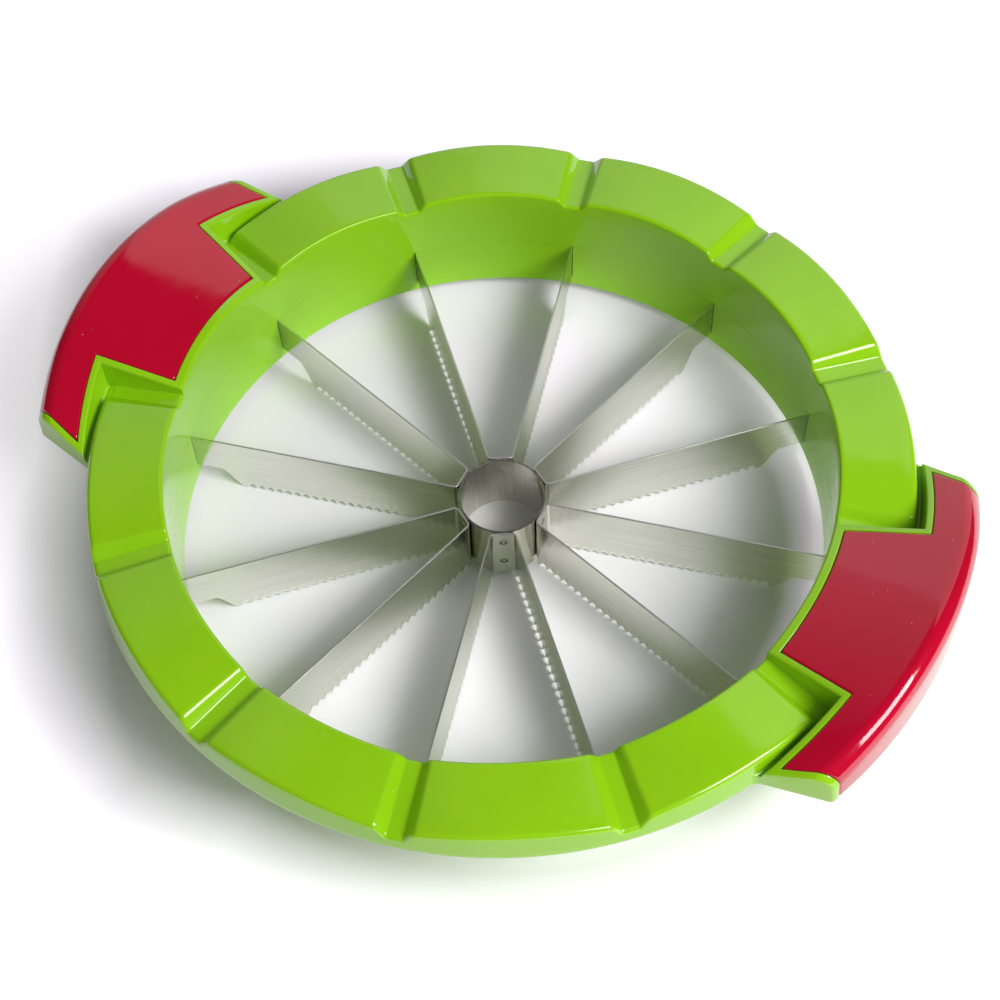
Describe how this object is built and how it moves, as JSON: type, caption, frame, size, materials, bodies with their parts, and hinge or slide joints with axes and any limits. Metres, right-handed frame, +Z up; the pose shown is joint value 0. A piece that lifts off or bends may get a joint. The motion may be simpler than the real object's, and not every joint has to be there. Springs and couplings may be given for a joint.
{
  "type": "watermelon slicer",
  "caption": "Round push-down melon slicer: a two-part plastic ring with two capped grips holds radial serrated steel blades welded round a steel core tube.",
  "frame": {"origin": "on the core tube's axis, at the level of the blades' lower edge, which is what the slicer stands on", "axes": "+X from the core tube towards one grip, along the line through both grips; +Z up, from the blades' serrated edge to the rim"},
  "size_m": [0.3976, 0.349, 0.0825],
  "materials": {
    "green_plastic": "glossy moulded plastic",
    "red_plastic": "glossy moulded plastic with light handling marks",
    "blade_steel": "rolled stainless strip, finely brushed lengthways",
    "screw_steel": "plain steel screws"
  },
  "bodies": {
    "root": {"upper_ring": "green_plastic", "lower_ring": "green_plastic", "grip_cap_right": "red_plastic", "grip_cap_left": "red_plastic", "core_tube": "blade_steel", "blade_pair_1": "blade_steel", "blade_pair_2": "blade_steel", "blade_pair_3": "blade_steel", "blade_pair_4": "blade_steel", "blade_pair_5": "blade_steel", "blade_pair_6": "blade_steel", "ring_screws": "screw_steel", "grip_screws": "screw_steel"}
  },
  "joints": []
}
